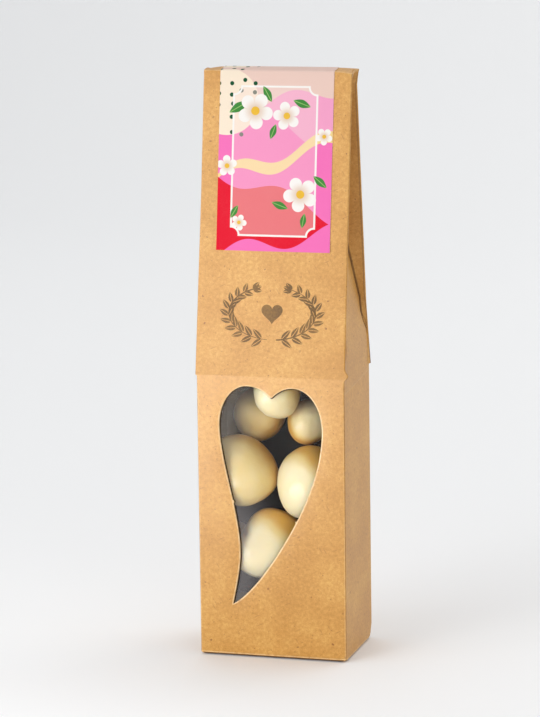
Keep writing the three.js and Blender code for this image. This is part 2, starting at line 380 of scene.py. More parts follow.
# %% Stations up the carton
FRONT_CORNERS = [(0.0, 0.0), (-20.0, 0.0), (-20.0, 113.5), (-3.8, 231.9), (0.0, 232.35)]
BACK_CORNERS = [(0.0, 0.0), (21.4, 0.0), (20.0, 113.5), (3.8, 232.8), (0.0, 232.35)]
CREASE_CURVE, RIDGE_CURVE, CURVE_STEPS = 4.0, 0.8, 5
BASE_ROWS = [  # in from the wall, up, fold mark: the board curls under at its foot; marks of -1 paint the shade under it, and the pale marks above are worn edge and painted highlight
    (2.8, 0.0, -1.0), (1.5, 0.12, -1.0), (0.75, 0.34, -1.0), (0.34, 0.6, -1.0), (0.08, 0.9, -1.0),
    (0.0, 1.05, 0.5), (0.0, 1.35, 0.7),
]
CREASE, SLOPE_RISE = 113.5, 119.0
WALL_ROWS = [1.7, 6.0, 11.0, 16.0] + [24.0 + 8.0 * i for i in range(11)]
SCORE_FRONT, SCORE_BACK = [106.9, 107.3, 107.7, 110.0, 112.4], [110.3, 110.7, 111.1, 112.0, 112.8]
SLOPE_ROWS = [114.2, 114.9, 115.6, 116.4, 117.4, 119.0, 125.0, 128.0, 131.5, 135.2, 138.0, 141.0, 145.0,
              149.4, 155.0, 160.6, 168.0, 176.0, 184.0, 192.0, 200.0, 208.0, 216.0, 222.0, 226.0]
CEILING = 0.99  # share of the slope at which the folded-in side ends under the strip
SLOPE_SHARES = [(z - CREASE) / SLOPE_RISE for z in SLOPE_ROWS] + [CEILING]


def curved_corner(before, corner, after, radius):
    """Points round one corner of a bent line."""
    before, corner, after = (np.array(p, float) for p in (before, corner, after))
    arriving, leaving = unit(corner - before), unit(after - corner)
    reach = radius * math.tan(math.acos(np.clip(arriving @ leaving, -1, 1)) / 2)
    start, end = corner - arriving * reach, corner + leaving * reach
    return [(1 - t) ** 2 * start + 2 * t * (1 - t) * corner + t * t * end
            for t in np.linspace(0.0, 1.0, CURVE_STEPS + 1)]


def stations(corners, wall_rows):
    """Points up one side view line, each with its fold mark and its share of the slope (-1 on the wall)."""
    crease, ridge = (
        curved_corner(*corners[i - 1:i + 2], r) for i, r in ((2, CREASE_CURVE), (3, RIDGE_CURVE)))
    bend = [math.sin(math.pi * k / CURVE_STEPS) for k in range(CURVE_STEPS + 1)]
    foot, low, high = (np.array(corner) for corner in corners[1:4])
    way = math.copysign(1.0, foot[0])

    def wall(z):
        return foot[0] + (low[0] - foot[0]) * z / CREASE

    return [
        *((np.array([wall(z) - way * inwards, z]), mark, -1.0) for inwards, z, mark in BASE_ROWS),
        *((np.array([wall(z), z]), 0.0, -1.0) for z in wall_rows),
        *((p, 0.1 * b, 0.0) for p, b in zip(crease, bend)),
        *((low + (high - low) * s, 0.0, s) for s in SLOPE_SHARES),
        *((p, 0.6 * b, 1.0) for p, b in zip(ridge, bend)),
    ]


front_line = stations(FRONT_CORNERS, WALL_ROWS + SCORE_FRONT)
back_line = stations(BACK_CORNERS, WALL_ROWS + SCORE_BACK)
print(len(front_line), "stations")

# %% [markdown]
# ## The folded-in sides
# Below, the carton is a plain box. Where the gable narrows, its sides have to go somewhere: they fold
# inwards between the two slopes like the sides of a paper bag. A side then has three faces, a leaning middle
# one and a narrow wing to either slope, with two valley folds between them. Where the wing turns back
# behind the slope the board lies double, which makes the slope's edge about 1.2 mm thick and round.
# Each ring is worked out in plan: round the fold, along the wing, into the valley, across the middle, and
# the same way out again. Just above the crease the slope stands out past the box like a small ear, and
# every valley strays a little, because each was creased by hand.

# %% One side in plan
HALF_WIDTH = 30.0
FOLD_ROUND = 0.6  # half the thickness of the doubled edge
BOX_MARKS = (0.3, 0.6, 0.3, -0.6, -0.66, 0.1, 0.35, 0.3)  # worn, then painted shade in the fold, then worn again; the worn marks are also painted highlight
# the gable's edge marks end in painted shade on the inner side of the doubled edge
GABLE_MARKS = (0.34, 0.3, 0.1, 0.0, 0.0, -0.4, -0.66, -0.6)
EAR_TIP = 121.0  # up to this height the back ear is painted dark all over, as painted shade
EARS = {(1, -1): (0.21, 183.0), (-1, -1): (0.6, 183.0),  # (side, front or back): how far out, up to where
        (1, 1): (0.78, 138.0), (-1, 1): (0.78, 138.0)}
POCKET_FOOT, POCKET_TOP, POCKET_DEEP, POCKET_HALF = 125.0, 226.0, 17.0, 16.6
# the valley groove's depth, and its mark, which paints shade into the groove
GROOVE, GROOVE_SHADE = 0.5, -0.75
KINK_ROWS = [125.0, 128.0, 135.2, 141.0, 149.4, 160.6, 174.0]
KINKS = {  # how far each valley strays outwards at those heights: (side, front or back)
    (1, 1): [0.0, 1.0, -1.2, 1.4, 0.5, -0.4, 0.0], (-1, 1): [0.0, -0.3, 0.6, -0.5, 0.3, 0.2, 0.0],
    (1, -1): [0.0, 0.3, 0.2, -0.3, 0.2, 0.3, 0.0], (-1, -1): [0.0, 0.2, -0.4, 0.3, 0.4, -0.1, 0.0],
}


def ear(height, side, end):
    """How much wider the slope is than the box. It starts at once at the crease and fades upwards."""
    widest, top = EARS[side, end]
    return float(smooth_step(CREASE - 0.35, CREASE, height) * np.interp(height, [CREASE, top], [widest, 0.0]))


def half_side(front_y, back_y, height, side, end, open_side):
    """Columns from one slope's edge to its valley, as (sideways, along, fold). end is -1 in front, 1 behind."""
    edge_y = front_y if end < 0 else back_y
    share = (height - POCKET_FOOT) / (POCKET_TOP - POCKET_FOOT)
    deep = float(np.clip(share, 0.0, 1.0))
    out = HALF_WIDTH + ear(height, side, end)
    stray = float(np.interp(height, KINK_ROWS, KINKS[side, end])) if 0 < share < 1 else 0.0
    valley = np.array([HALF_WIDTH - (POCKET_DEEP * deep if open_side else 0.0),
                       end * min(POCKET_HALF * (1 - deep) + stray, abs(edge_y) - 1.0)])
    radius = min(FOLD_ROUND, abs(edge_y) * 0.45)
    middle = np.array([out - radius, edge_y - end * radius])
    along = unit(valley - (middle + np.array([radius, 0.0])))
    last = math.atan2(-along[0], -end * along[1])
    edge_marks = GABLE_MARKS if height > CREASE + 0.3 else BOX_MARKS
    # painted shade: the back ear, out of the light, gets the darkest mark
    if end > 0 and CREASE < height < EAR_TIP:
        edge_marks = (-1.0,) * len(edge_marks)
    columns = []
    for k in range(7):
        turn = -math.pi / 2 + (last + math.pi / 2) * k / 6
        rim = middle + radius * np.array([math.cos(turn), -end * math.sin(turn)])
        columns.append((*rim, edge_marks[k]))
    start = np.array(columns[-1][:2])
    run = np.linalg.norm(valley - start)
    groove = GROOVE * float(smooth_step(0.0, 0.06, deep) * (deep < 0.98)) if open_side else 0.0
    # painted shade along the valley groove
    dark = GROOVE_SHADE if groove else 0.0
    for t, mark in ((min(0.3 / run, 0.1), edge_marks[7]), (min(0.9 / run, 0.2), 0.0), (0.55, 0.0), (0.8, 0.0),
                    (1 - min(0.5, run * 0.3) / run, dark)):
        columns.append((*(start + (valley - start) * t), mark))
    columns.append((valley[0] - groove, valley[1], dark))
    return columns


def side_in_plan(front_y, back_y, height, side, open_side=True, scored=0.0, inset=0.0):
    """All columns of one side, from the front edge to the back edge."""
    front, back = (half_side(front_y, back_y, height, side, end, open_side) for end in (-1, 1))
    a, b = front[-1], back[-1]
    level = max(a[0], b[0]) + (a[2] < 0) * GROOVE
    middle = [(level, a[1] + (b[1] - a[1]) * t, mark) for t, mark in (
        (0.03, a[2]), *((t, 0.0) for t in (0.06, 0.27, 0.5, 0.73, 0.94)), (0.97, b[2]))]
    columns = front + middle + back[::-1]
    flat = [6 < i < len(columns) - 7 for i in range(len(columns))]
    return [(side * (x - inset - 0.12 * scored * on), y, 0.5 * scored if scored and on else fold)
            for on, (x, y, fold) in zip(flat, columns)]


print("columns in one side:", len(side_in_plan(-15, 15, 150, 1)))

# %% [markdown]
# ## Rings into a skin
# The front and back columns are the same at every height, and a very slight bulge keeps the panels from
# looking like sheet metal. Where a fold runs into nothing, its columns meet in one point, and welding
# joins them. Every corner of every face also keeps its place on the flat blank for the fibres.

# %% Rings of the carton
PANEL_COLUMNS = [-25.0 + 5.0 * i for i in range(11)]
WALL_BULGE, SLOPE_BULGE = 0.22, 0.3
FRONT_FACE = FRONT_CORNERS[1][0]


def bulge(x, height, share):
    """How far a panel stands proud of its folds, in millimetres."""
    across = max(0.0, 1.0 - (x / HALF_WIDTH) ** 2)
    if share < 0:
        return WALL_BULGE * across * math.sin(math.pi * min(max(height / CREASE, 0.0), 1.0))
    return SLOPE_BULGE * across * math.sin(math.pi * min(share, 1.0))


def ring(front, back, scored):
    """One closed ring: left side from the back, the front, the right side, then the back."""
    (front_y, front_z), fold, share = front
    back_y, back_z = back[0]
    height = (front_z + back_z) / 2
    inset = max(0.0, front_y - FRONT_FACE) if height < CREASE / 2 else 0.0
    reach = HALF_WIDTH - FOLD_ROUND - inset - 0.35
    left, right_side = (
        side_in_plan(front_y, back_y, height, side, 0 <= share < 0.97, scored, inset) for side in (-1, 1))
    panel, rear = (
        [(x, y + end * bulge(x, z, share), fold)
         for x in (-reach - ear(height, -1, end), *PANEL_COLUMNS, reach + ear(height, 1, end))]
        for y, z, end in ((front_y, front_z, -1), (back_y, back_z, 1)))
    points = []
    for x, y, mark in left[::-1] + panel + right_side + rear[::-1]:
        t = (min(max(y, front_y), back_y) - front_y) / (back_y - front_y)
        points.append((x, y, front_z + (back_z - front_z) * t, mark if abs(mark) > fold else fold))
    return points, len(left), len(panel), len(right_side)


score_row = len(BASE_ROWS) + len(WALL_ROWS) + 1
rings = []
for i, (front, back) in enumerate(zip(front_line, back_line)):
    points, *lengths = ring(front, back, float(i == score_row))
    rings.append(points)
FRONT_AT, RIGHT_AT, REAR_AT = (int(v) for v in np.cumsum(lengths))
COLUMNS = len(rings[0])
grid = np.array(rings)
print("rings", grid.shape[0], "columns", COLUMNS)

# %% Places on the flat blank
steps = np.linalg.norm(np.diff(np.concatenate([grid, grid[:, :1]], axis=1)[..., :2], axis=1), axis=2)
around = np.concatenate([np.zeros((len(rings), 1)), np.cumsum(steps, axis=1)], axis=1)
around -= around[:, FRONT_AT + 6][:, None]
heights = np.array([f[0] for f in front_line])
climbs = np.concatenate([[0.0], np.cumsum(np.linalg.norm(np.diff(heights, axis=0), axis=1))])
blank = [[(x, climb) for x in row] for row, climb in zip(around, climbs)]
print("the blank is", round(float(np.ptp(around))), "mm round and", round(climbs[-1]), "mm up")

# %% [markdown]
# ## The heart window
# The window is die-cut: a steel rule presses through the board from the front and leaves a soft rim
# before it cuts. The outline is a chain of cubic curves. Rings follow it: flat board, the pressed rim and
# the cut edge. At the left the cut leans in, as a worn rule leaves it, and there are two stubs of the thin
# bridges that held the waste until it was stripped out. A triangulation with fixed edges fills the panel
# between the outermost ring and the panel's own grid. A boolean cut would be shorter, but it can't round
# the rim.

# %% Heart outline
WINDOW_START = (1.2, 105.7)
WINDOW_CURVES = [
    (2.8, 107.3, 5.6, 109.2, 9.1, 109.2), (15.5, 109.2, 20.7, 101.9, 20.7, 92.8),
    (20.7, 80.5, 16.3, 68.0, 10.6, 56.9), (5.7, 47.4, -6.0, 27.3, -16.3, 21.4),
    (-15.3, 26.5, -13.0, 36.0, -13.0, 43.0), (-13.0, 58.0, -21.0, 80.0, -21.0, 93.6),
    (-21.0, 102.4, -15.9, 109.5, -9.6, 109.5), (-6.0, 109.5, -2.8, 107.9, -0.8, 105.8),
    (-0.2, 105.1, 0.6, 105.0, 1.2, 105.7),
]
NICKS = [(-18.0, 62.4), (7.8, 58.2)]  # where the bridges were


def heart_outline(steps):
    """The window's edge as points (x, z), counter-clockwise seen from the front."""
    points, start = [], np.array(WINDOW_START)
    for curve in WINDOW_CURVES:
        a, b, end = (np.array(curve[i:i + 2]) for i in (0, 2, 4))
        for t in np.linspace(0, 1, steps, endpoint=False):
            points.append((1 - t) ** 3 * start + 3 * t * (1 - t) ** 2 * a
                          + 3 * t * t * (1 - t) * b + t ** 3 * end)
        start = end
    points = np.array(points)
    area = np.sum(points[:, 0] * np.roll(points[:, 1], -1) - points[:, 1] * np.roll(points[:, 0], -1))
    return points if area > 0 else points[::-1]


def grown(outline, distance):
    """The outline moved outwards, with its corners kept in reach."""
    before, after = np.roll(outline, 1, axis=0), np.roll(outline, -1, axis=0)
    into, leaving = (np.array([unit(v) for v in way]) for way in (outline - before, after - outline))
    normals = np.stack([into[:, 1] + leaving[:, 1], -into[:, 0] - leaving[:, 0]], axis=1)
    lengths = np.maximum(np.linalg.norm(normals, axis=1), 1.0)[:, None]
    return outline + normals / lengths * distance * np.minimum(2 / lengths, 1.6)


def inside(point, outline):
    """True if a point lies within the outline."""
    x, z = point
    hit = False
    for (x0, z0), (x1, z1) in zip(outline, np.roll(outline, -1, axis=0)):
        if (z0 > z) != (z1 > z) and x < (x1 - x0) * (z - z0) / (z1 - z0) + x0:
            hit = not hit
    return hit


heart = heart_outline(14)
stub = np.zeros(len(heart))
for nick in NICKS:
    k = int(np.argmin(np.linalg.norm((heart + np.roll(heart, -1, axis=0)) / 2 - nick, axis=1)))
    a, b = heart[k], heart[(k + 1) % len(heart)]
    heart = np.insert(heart, k + 1, [a + (b - a) * t for t in (0.32, 0.4, 0.6, 0.68)], axis=0)
    stub = np.insert(stub, k + 1, [0.0, 1.0, 1.0, 0.0])
print("window", np.round(np.ptp(heart, axis=0), 1), "mm,", len(heart), "points")

# %% Carton skin
OUTSIDE, INSIDE, CUT = 0, 1, 2  # the carton's finishes
PANEL_FOOT, PANEL_TOP = 15.9, 112.5  # the panel with the window lies between these heights


class Skin:
    """Points, faces and their places on the blank, gathered before the mesh is made."""

    def __init__(self):
        self.points, self.folds, self.faces, self.places, self.finishes = [], [], [], [], []

    def point(self, x, y, z, fold=0.0):
        self.points.append((x * MM, y * MM, z * MM))
        self.folds.append(fold)
        return len(self.points) - 1

    def face(self, corners, places, finish=OUTSIDE):
        self.faces.append(corners)
        self.places.append(places)
        self.finishes.append(finish)

    def mesh(self, name, layer="blank"):
        made = bpy.data.meshes.new(name)
        made.from_pydata(self.points, [], self.faces)
        flat = np.array([p for places in self.places for p in places], np.float32)
        made.uv_layers.new(name=layer).data.foreach_set("uv", flat.ravel())
        made.attributes.new("fold", "FLOAT", "POINT").data.foreach_set("value", self.folds)
        made.polygons.foreach_set("material_index", self.finishes)
        return made


skin = Skin()
index = np.array([[skin.point(*p) for p in row] for row in rings])
first_column, last_column = FRONT_AT + 1, FRONT_AT + len(PANEL_COLUMNS)
window_rows = [i for i, (p, _, share) in enumerate(front_line) if share < 0 and PANEL_FOOT < p[1] < PANEL_TOP]
first_row, last_row = window_rows[0], window_rows[-1]
for i in range(len(rings) - 1):
    for c in range(COLUMNS):
        if not (first_row <= i < last_row and first_column <= c < last_column):
            skin.face(cell(index, i, c, (c + 1) % COLUMNS), cell(blank, i, c, c + 1))
print(len(skin.faces), "faces before the window panel")

# %% Window panel
RIM_WIDTH, RIM_CLEAR = 0.75, 1.6  # how far out the rim starts, and how far the grid keeps away from it
# The rim's fold marks paint it pale: pressed, worn board that is also a painted highlight. The innermost ring
# takes the inside finish, painted shade that gives the dark line inside the cut.
RIM_RINGS = [  # out, back in where the cut leans, nick, deep, fold, finish
    (0.42, 0.189, 0.0, 0.05, 0.9, OUTSIDE), (0.12, 0.054, 0.4, 0.2, 1.0, OUTSIDE),
    (0.0, 0.0, 0.4, 0.5, 0.6, CUT), (0.0, 0.42, 0.4, 0.76, 0.0, INSIDE),
]
LEANING_WAY = unit((-0.85, 0.5))
PANEL_SHIFT = climbs[first_row] - grid[first_row, FRONT_AT, 2]


def panel_point(x, z, deep=0.0, fold=0.0):
    return skin.point(x, FRONT_FACE - bulge(x, z, -1.0) + deep, z, fold)


def panel_places(corners):
    return [(x, z + PANEL_SHIFT) for x, z in corners]


edge_ring = grown(heart, RIM_WIDTH)
flat, known = [], []
for i in range(first_row, last_row + 1):
    for c in range(first_column, last_column + 1):
        x, z = grid[i, c, 0], grid[i, c, 2]
        border = i in (first_row, last_row) or c in (first_column, last_column)
        gap = np.min(np.linalg.norm(edge_ring - (x, z), axis=1))
        if border or (gap > RIM_CLEAR and not inside((x, z), edge_ring)):
            flat.append((x, z))
            known.append(index[i, c] if border else panel_point(x, z))
ring_start, around_it = len(flat), len(edge_ring)
flat += [tuple(p) for p in edge_ring]
known += [panel_point(*p) for p in edge_ring]
loop = [(ring_start + k, ring_start + (k + 1) % around_it) for k in range(around_it)]
_, _, triangles, sources, _, _ = delaunay_2d_cdt([Vector(p) for p in flat], loop, [], 0, 1e-6)
for triangle in triangles:
    corners = [flat[sources[k][0]] for k in triangle]
    if not inside(np.mean(corners, axis=0), edge_ring):
        skin.face([known[sources[k][0]] for k in triangle], panel_places(corners))

outer, outer_flat = known[ring_start:], edge_ring
outwards = np.array([unit(v) for v in grown(heart, 1.0) - heart])
leans = np.clip(1.6 * (outwards @ LEANING_WAY) + 0.2, 0.0, 1.0)[:, None]
for out, lean, nick, deep, fold, finish in RIM_RINGS:
    inner_flat = grown(heart, out - lean * leans - nick * stub[:, None])
    inner = [panel_point(*p, deep, fold) for p in inner_flat]
    for k in range(around_it):
        n = (k + 1) % around_it
        skin.face(cell((outer, inner), 0, k, n), panel_places(cell((outer_flat, inner_flat), 0, k, n)), finish)
    outer, outer_flat = inner, inner_flat
print(len(triangles), "triangles offered,", len(skin.faces), "faces kept in all")

# %% Ridge strip and base
def close_end(row, upwards):
    """Closes the last or first ring with panels between its front and back columns."""
    def panel(columns, places):
        corners = [index[row, c] for c in columns]
        skin.face(corners if upwards else corners[::-1], places if upwards else places[::-1])

    climb = climbs[row]
    fronts, backs = [*range(FRONT_AT, RIGHT_AT)], [*range(REAR_AT, COLUMNS)][::-1]
    far = climb + grid[row, REAR_AT, 1] - grid[row, FRONT_AT, 1]
    for a, b, c, d in zip(fronts, fronts[1:], backs[1:], backs):
        x, after = grid[row, a, 0], grid[row, b, 0]
        panel((a, b, c, d), [(x, climb), (after, climb), (after, far), (x, far)])
    for columns in ([fronts[-1], *range(RIGHT_AT, REAR_AT), backs[-1]], [backs[0], *range(FRONT_AT), fronts[0]]):
        panel(columns, [(grid[row, c, 0], climb + grid[row, c, 1]) for c in columns])


close_end(len(rings) - 1, True)
close_end(0, False)
carton_mesh = skin.mesh("kraft_carton")
print("carton skin has", len(carton_mesh.polygons), "faces")

# %% [markdown]
# ## From skin to board
# The skin is the outside of the carton. Solidify gives it the thickness of board towards the inside, and
# its own finishes for the inside, painted dark as shade, and for the pale cut edge round the window. Those
# finishes are counted up from the outer one and stop at the last slot, so the mesh needs a slot for every
# sum. Some corners at the ridge, at the crease and at the foot are then dressed: knocked round, pinched out
# or pressed in.

# %% Thickness and finish of the carton
BOARD, SLOTS = 0.45, 4
DENTS = [  # corner, reach, shift
    ((30.0, 3.6, 232.8), 2.2, (1.0, 0.3, -0.3)),
    ((-30.0, 3.6, 232.8), 1.8, (0.9, -0.2, -0.7)),
    ((30.0, -3.8, 231.9), 2.0, (0.0, 0.0, -0.7)),
    ((30.0, -20.0, 0.0), 1.4, (-0.25, 0.1, 0.25)),
    ((30.0, 21.4, 0.0), 2.3, (-0.4, -1.7, 0.7)),
    ((30.2, -19.8, 114.9), 1.4, (1.5, 0.0, 0.0)),
    ((30.0, -20.0, 110.4), 0.7, (-0.1, 0.1, 0.0)),
]


def weld(mesh, reach=1e-6):
    """Joins points that lie on top of each other and drops faces that vanish by it."""
    work = bmesh.new()
    work.from_mesh(mesh)
    bmesh.ops.remove_doubles(work, verts=work.verts, dist=reach)
    bmesh.ops.dissolve_degenerate(work, edges=work.edges, dist=reach)
    work.to_mesh(mesh)
    work.free()


def worked_out(scratch):
    """The mesh that an object's modifiers give. The object itself goes."""
    made = bpy.data.meshes.new_from_object(scratch.evaluated_get(bpy.context.evaluated_depsgraph_get()))
    bpy.data.objects.remove(scratch)
    return made


def thickened(mesh, thickness, direction, inner=0, rim=0):
    """The mesh with a thickness. direction is -1 for inwards and 1 for outwards."""
    scratch = into_scene("scratch", mesh)
    for _ in range(SLOTS):
        mesh.materials.append(None)
    layer = scratch.modifiers.new("thickness", "SOLIDIFY")
    layer.thickness, layer.offset = thickness * MM, direction
    layer.material_offset, layer.material_offset_rim = inner, rim
    made = worked_out(scratch)
    finishes = [face.material_index for face in made.polygons]  # clearing the slots would reset them
    made.materials.clear()
    made.polygons.foreach_set("material_index", finishes)
    return made


def soften(mesh, angle=32.0):
    """Smooth shading, with a hard edge where faces meet at more than the angle."""
    mesh.shade_smooth()
    mesh.set_sharp_from_angle(angle=math.radians(angle))


def add_piece(name, mesh, finishes, slot, *stands_for):
    """A piece of the object, carried by the carton's body."""
    made = into_scene(name, mesh)
    for finish in finishes:
        mesh.materials.append(finish)
    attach(made, "root")
    if stands_for:
        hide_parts(*stands_for)
    return made


weld(carton_mesh)
for point in carton_mesh.vertices:
    for corner, reach, shift in DENTS:
        gap = (point.co - Vector(corner) * MM).length / (reach * MM)
        if gap < 2.5:
            point.co += Vector(shift) * MM * math.exp(-gap * gap)
carton_mesh = thickened(carton_mesh, BOARD, -1, inner=INSIDE, rim=CUT)
for face in carton_mesh.polygons:  # the folded-in sides turn the outside of the board inwards
    if face.center.z > CREASE * MM and face.material_index == INSIDE:
        face.material_index = OUTSIDE
soften(carton_mesh)
carton = add_piece("kraft_carton", carton_mesh, [kraft_outside, kraft_inside_painted_shade, kraft_core, kraft_inside_painted_shade],
                   "kraft_board", "carton")
print("carton:", len(carton_mesh.polygons), "faces")

# %% [markdown]
# ## Window film
# A sheet of clear film is glued behind the window. It is thin, so light goes straight through it, and what
# shows is its gloss: it mirrors the pale room a little, which turns the dark gaps between the berries to
# slate. A transparent shader and a glossy one give that without the slow bending of light in glass. The
# share that is mirrored grows with the slant. It is worked out from Facing, which is the same on the
# sheet's two sides. At the left and low down a small share of milky white is mixed in, greyer low
# and warmer higher up.

# %% Film
FILM_ROWS, FILM_COLUMNS, FILM_THICK = 50, 26, 0.08


def object_place(tree):
    """Where a point lies in the measured frame, in millimetres."""
    metres = node(tree, "TexCoord").outputs["Object"]
    return node(tree, "Mapping", {"Vector": metres, "Scale": (1000.0,) * 3}).outputs[0]


def film_wave(c, r):
    """How far the slack sheet lies behind its front plane, in millimetres."""
    return 0.09 + 0.07 * math.sin(0.19 * c + 0.5) * math.sin(0.11 * r + 0.9) - 0.03 * math.sin(0.43 * c - 0.21 * r)


film_finish, tree, shader = new_finish("window_film")
tree.nodes.remove(shader)
place = object_place(tree)
fog_noise = place_group(smudges, {"Place": place, "Size": 22.0})["Mask"]
across, _, tall = apart(place)
fog = times(ramp_mask(across, -4.0, -20.0), times(fog_noise, 0.04, plus=0.02))
low_fog = times(ramp_mask(across, 6.0, -14.0), ramp_mask(tall, 74.0, 50.0))
shine = node(tree, "BsdfAnisotropic", {
    "Color": (0.93, 0.96, 1.0, 1.0), "Roughness": times(fog_noise, 0.1, plus=0.16)})
clear = node(tree, "BsdfTransparent", {"Color": (1.0, 1.0, 1.0, 1.0)})
slant = node(tree, "LayerWeight", {"Blend": 0.5}).outputs["Facing"]
mirrored = times(reckon("POWER", slant, 5.0), 0.96, plus=0.003)
pane = node(tree, "MixShader", {0: mirrored, 1: clear.outputs[0], 2: shine.outputs[0]})
milk = node(tree, "BsdfDiffuse", {
    "Color": blend_colours(ramp_mask(tall, 60.0, 95.0), paint(222, 216, 218), paint(222, 196, 164))})
film_surface = node(tree, "MixShader", {
    0: times(low_fog, 0.075, plus=fog), 1: pane.outputs[0], 2: milk.outputs[0]})
feed(tree.nodes["Material Output"], {"Surface": film_surface.outputs[0]})

film_low, film_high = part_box("window_film")
film_size = film_high - film_low
film_mesh = thickened(grid_mesh("clear_film", [[(
    film_low.x + film_size.x * c / FILM_COLUMNS,
    film_low.y + film_wave(c, r) * MM,
    film_low.z + film_size.z * r / FILM_ROWS,
) for c in range(FILM_COLUMNS + 1)] for r in range(FILM_ROWS + 1)]), FILM_THICK, -1)
soften(film_mesh)
film = add_piece("clear_film", film_mesh, [film_finish], "clear_film", "window_film")
print("film:", [round(v / MM, 1) for v in film.dimensions], "mm")

# %% [markdown]
# ## White chocolate
# A freeze-dried strawberry is tumbled in melted chocolate until the coat is round and smooth. White
# chocolate is cocoa butter and milk: ivory, slightly see-through, with a satin shine from the polish. Light
# that goes in comes out nearby, which subsurface scattering gives. The golden tone is painted shade: each berry is
# painted golden where it turns from the light or towards its edges.
# The berries rub against each other, so the shine has dull patches, and there are a few pinholes where air
# came out.

# %% White chocolate finish
chocolate, tree, shader = new_finish("white_chocolate")
place = object_place(tree)
cloudy = noise_at(place, 0.13, 3.0, flat=False)[0]
rubbed = place_group(smudges, {"Place": place, "Size": 4.5})["Mask"]
# painted shade: the attribute makes the berries golden where they turn from the light, pale where lit
gold_shade = node(tree, "Attribute", attribute_name="painted_gold_shade", attribute_type="GEOMETRY").outputs["Fac"]
gold_shade = times(less(cloudy, 0.5), 0.35, plus=gold_shade)
colour = blend_colours(ramp_mask(gold_shade, 0.05, 0.6), paint(236, 224, 186), paint(226, 203, 141))
colour = blend_colours(ramp_mask(gold_shade, 0.5, 1.05), colour, paint(212, 164, 74))
pins = node(tree, "TexVoronoi", {"Vector": place, "Scale": 0.28})
pin = ramp_mask(pins.outputs["Distance"], 0.075, 0.045)
ripple = noise_at(place, 0.35, 2.0, flat=False)[0]
feed(shader, {
    "Base Color": blend_colours(times(pin, 0.35), colour, paint(214, 176, 112)),
    "Roughness": times(rubbed, 0.16, plus=0.3),
    "Normal": bumped(times(pin, -0.4, plus=ripple), 0.5, 0.0003),
    "Subsurface Weight": 0.9, "Subsurface Radius": (1.0, 0.82, 0.5), "Subsurface Scale": 0.0045,
    "Specular IOR Level": 0.45,
})
shader.subsurface_method = "RANDOM_WALK"
print("white chocolate ready")

# %% [markdown]
# ## The berries
# The measured solids give each berry its place, size and lean, but with flat facets. A copy of each is
# subdivided, and the Catmull-Clark rule rounds it off. That rule draws a shape in a little, so the copy is
# stretched back to the solid's own box. Low, wide dents and lumps from seeded noise follow, and a few
# berries get a shoulder, as a push along one direction that fades with distance. The mesh also carries
# painted shade: a share that paints each berry golden where it turns from the light or towards its edges, and pale
# where it is lit.

# %% Berries
PUSHES = {  # berry: (where, how far it reaches, how it is pushed), in millimetres
    "04": [((-26.0, -12.0, 84.0), 6.5, (-0.8, -0.6, 2.3))],
    "06": [((-14.0, -9.0, 39.0), 8.0, (-2.2, -5.0, 0.0)), ((-13.0, -13.0, 48.0), 2.6, (1.4, 1.0, -0.3))],
}
HIDDEN_SHADE_WAY = ((-0.45, -0.85, -0.2), 0.0, 1.1)
PAINTED_SHADE_WAYS = {  # berry: the way its painted shade is palest, how much shade stays even there, how soon the shade sets in
    "01": ((-0.3, -0.9, -0.45), 0.25, 1.0), "02": ((-0.3, -0.95, 0.1), 0.6, 0.7),
    "03": ((0.3, -0.93, 0.3), 0.3, 0.5), "04": ((-0.2, -0.98, -0.05), 0.45, 1.1),
    "05": ((-0.6, -0.75, -0.3), 0.0, 0.8), "06": ((-0.5, -0.8, -0.4), 0.0, 1.1),
    "07": ((0.0, 1.0, 0.0), 0.9, 1.1),
}


def rounded_berry(name, number):
    """A smooth copy of one measured berry, with uneven chocolate and golden painted shade."""
    scratch = into_scene("scratch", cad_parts[name].data.copy())
    weld(scratch.data, 1e-5)
    scratch.modifiers.new("round", "SUBSURF").levels = 2
    mesh = worked_out(scratch)
    points = np.array([v.co for v in mesh.vertices])
    low, high = (np.array(v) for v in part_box(name))
    points = low + (points - points.min(0)) / np.ptp(points, axis=0) * (high - low)
    centre = (low + high) / 2
    for k, point in enumerate(points):
        away = unit(point - centre)
        sample = Vector(away * 1.3) + Vector((SEED + 3.7 * number, 1.9 * number, -2.3 * number))
        swell = 0.34 * noise.noise(sample) + 0.16 * noise.noise(sample * 2.7)
        points[k] = point + away * (swell - 0.1) * MM
    for where, reach, push in PUSHES.get(name[-2:], []):
        gaps = np.linalg.norm(points - np.array(where) * MM, axis=1) / (reach * MM)
        points += np.exp(-gaps ** 2)[:, None] * np.array(push) * MM
    mesh.vertices.foreach_set("co", points.astype(np.float32).ravel())
    # painted shade: golden away from the pale way, which mostly faces the light
    pale_way, least, fade = PAINTED_SHADE_WAYS.get(name[-2:], HIDDEN_SHADE_WAY)
    facing = np.array([unit(p) for p in points - centre]) @ unit(pale_way)
    gold_shade = least + (1.0 - least) * smooth_step(0.75, 0.75 - fade, facing)
    mesh.attributes.new("painted_gold_shade", "FLOAT", "POINT").data.foreach_set("value", gold_shade.astype(np.float32))
    mesh.materials.clear()
    mesh.shade_smooth()
    return mesh


berry_names = sorted(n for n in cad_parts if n.startswith("coated_strawberry"))
for number, name in enumerate(berry_names, 1):
    berry = add_piece(f"berry_{number:02d}", rounded_berry(name, number), [chocolate],
                      "white_chocolate", name)
print(len(berry_names), "berries of", len(berry.data.polygons), "faces each")

# %% [markdown]
# ## The label
# A strip of printed paper lies over the ridge and down both slopes. Its pattern is drawn by the material in
# the label's own coordinates: millimetres across, and millimetres along the strip from the lower front
# edge. Rolling edges stack up like hills of colour, a pale frame is ruled over them, and blossoms, leaves
# and dots are scattered on top. Each motif is a small group that gives a mask, so it can be placed many
# times with other sizes and turns.

